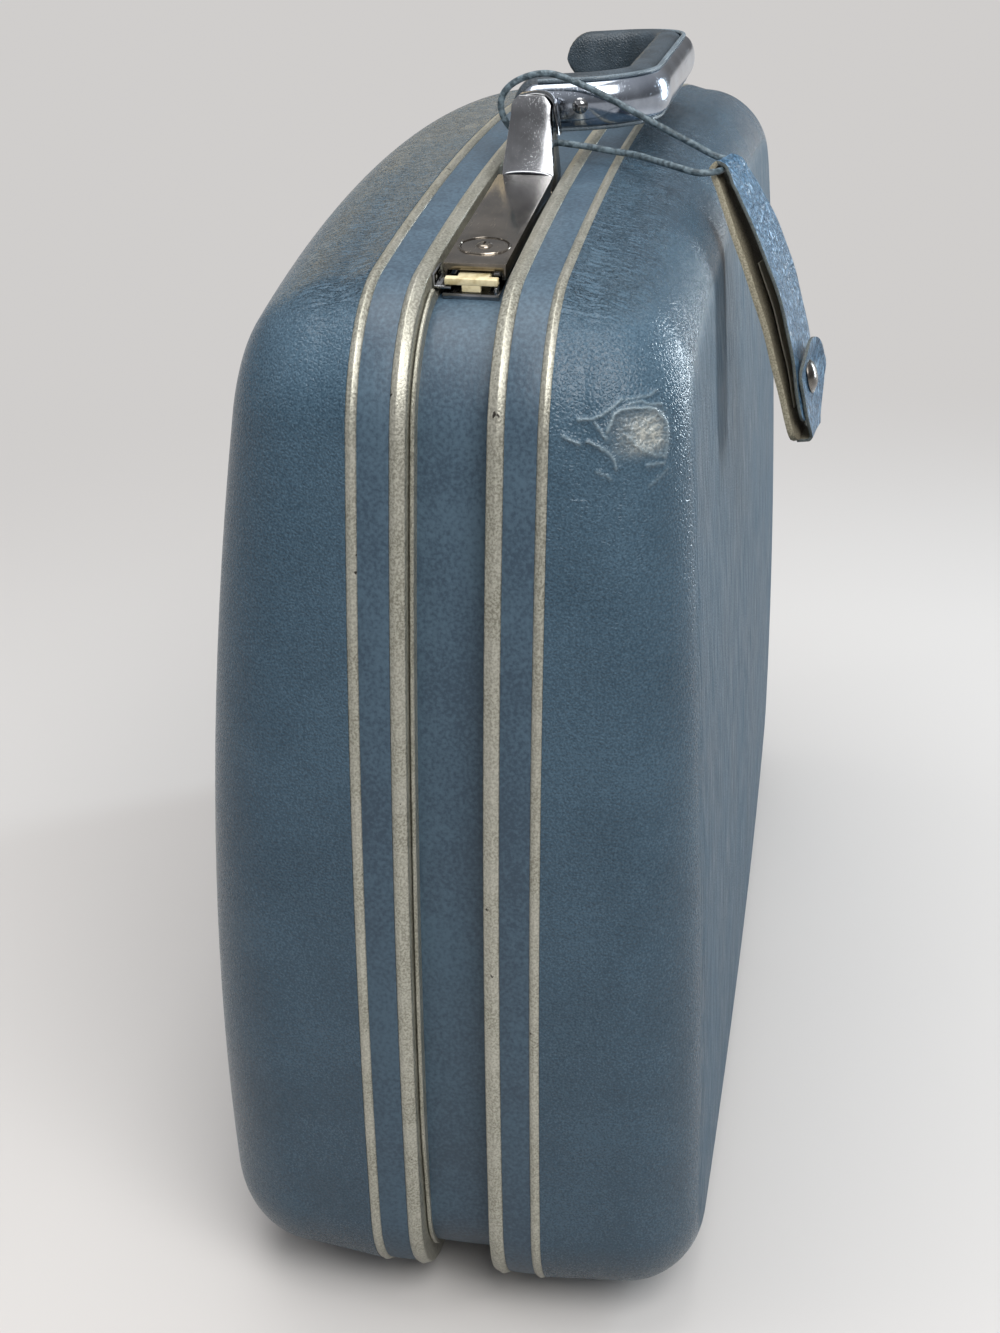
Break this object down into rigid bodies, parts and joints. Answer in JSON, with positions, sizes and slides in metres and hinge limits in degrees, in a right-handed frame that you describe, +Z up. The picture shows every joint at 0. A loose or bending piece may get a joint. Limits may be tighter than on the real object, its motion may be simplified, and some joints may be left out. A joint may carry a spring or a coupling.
{
  "type": "vintage suitcase",
  "caption": "Hard-sided suitcase: two tapered vinyl shells on metal frames, hinged lid, lift latches with key locks, bail handle and hanging luggage tag.",
  "frame": {"origin": "centre of the footprint on the floor that the case stands on", "axes": "+X along the case's length, +Y through its thickness from the lid to the body, +Z up"},
  "size_m": [0.6094, 0.2438, 0.4996],
  "materials": {
    "grained_vinyl": "leather-grained vinyl over a moulded shell",
    "smooth_vinyl": "smooth satin vinyl inlay",
    "tag_vinyl": "grained vinyl with raw beige edges",
    "handle_vinyl": "padded grained vinyl",
    "thong": "flat cut thong",
    "champagne_metal": "satin champagne anodised, lightly worn",
    "lining_satin": "woven satin",
    "webbing": "woven webbing",
    "foot_plastic": "moulded, matt",
    "nylon": "moulded nylon, aged yellow",
    "card": "plain paper card",
    "steel": "bright zinc",
    "chrome": "polished chrome, lightly worn"
  },
  "bodies": {
    "body": {"body_shell": "grained_vinyl", "body_frame": "champagne_metal", "channel_band": "smooth_vinyl", "body_band": "smooth_vinyl", "body_piping": "champagne_metal", "body_lining": "lining_satin", "body_feet": "foot_plastic", "hinge_leaf_body": "steel", "hinge_pins": "steel", "hinge_rivets_body": "steel", "right_latch_base": "chrome", "left_latch_base": "chrome", "right_latch_pin": "steel", "left_latch_pin": "steel", "right_latch_spring": "steel", "left_latch_spring": "steel", "latch_rivets": "steel", "right_handle_post": "chrome", "left_handle_post": "chrome", "handle_pins": "steel", "packing_straps": "webbing", "strap_buckles": "chrome", "tag_thong": "thong"},
    "lid": {"lid_shell": "grained_vinyl", "lid_frame": "champagne_metal", "lid_band": "smooth_vinyl", "lid_piping": "champagne_metal", "lid_lining": "lining_satin", "lid_pocket": "lining_satin", "pocket_elastic": "lining_satin", "lid_feet": "foot_plastic", "hinge_leaf_lid": "steel", "hinge_rivets_lid": "steel", "right_keeper": "chrome", "left_keeper": "chrome", "keeper_rivets": "steel"},
    "handle": {"handle_core": "steel", "handle_grip": "handle_vinyl", "handle_band": "chrome", "handle_rivets": "chrome"},
    "right_lever": {"right_latch_lever": "chrome"},
    "left_lever": {"left_latch_lever": "chrome"},
    "right_bolt": {"right_latch_bolt": "nylon"},
    "left_bolt": {"left_latch_bolt": "nylon"},
    "right_lock": {"right_lock_disc": "chrome"},
    "left_lock": {"left_lock_disc": "chrome"},
    "tag": {"tag_front": "tag_vinyl", "tag_back": "tag_vinyl", "tag_card": "card", "tag_tab": "tag_vinyl", "tag_snap": "chrome"}
  },
  "joints": [
    {"name": "lid_hinge", "type": "hinge", "parent": "body", "child": "lid", "pos_m": [0, -0.00481, 0.0117], "axis": [1, 0, 0], "range_deg": [0, 110]},
    {"name": "handle_swing", "type": "hinge", "parent": "body", "child": "handle", "pos_m": [0, 0.00579, 0.4835], "axis": [1, 0, 0], "range_deg": [0, 160]},
    {"name": "right_lever_lift", "type": "hinge", "parent": "body", "child": "right_lever", "pos_m": [0.12978, 0.00579, 0.4557], "axis": [0, -1, 0], "range_deg": [0, 60]},
    {"name": "right_bolt_slide", "type": "slide", "parent": "body", "child": "right_bolt", "axis": [-0.995, 0, 0.1002], "range_m": [0, 0.008]},
    {"name": "right_lock_turn", "type": "hinge", "parent": "right_lever", "child": "right_lock", "pos_m": [0.21821, 0.00579, 0.45152], "axis": [0.1002, 0, 0.995], "range_deg": [0, 90]},
    {"name": "left_lever_lift", "type": "hinge", "parent": "body", "child": "left_lever", "pos_m": [-0.12978, 0.00579, 0.4557], "axis": [0, 1, 0], "range_deg": [0, 60]},
    {"name": "left_bolt_slide", "type": "slide", "parent": "body", "child": "left_bolt", "axis": [0.995, 0, 0.1002], "range_m": [0, 0.008]},
    {"name": "left_lock_turn", "type": "hinge", "parent": "left_lever", "child": "left_lock", "pos_m": [-0.21821, 0.00579, 0.45152], "axis": [-0.1002, 0, 0.995], "range_deg": [0, 90]},
    {"name": "tag_swing", "type": "hinge", "parent": "body", "child": "tag", "pos_m": [0.113, 0.08779, 0.4644], "axis": [0.9703, -0.2419, 0], "range_deg": [-4, 60]}
  ],
  "couplings": [
    {"joint": "right_bolt_slide", "follows": "right_lever_lift", "m_per_rad": 0.0076},
    {"joint": "left_bolt_slide", "follows": "left_lever_lift", "m_per_rad": 0.0076}
  ]
}
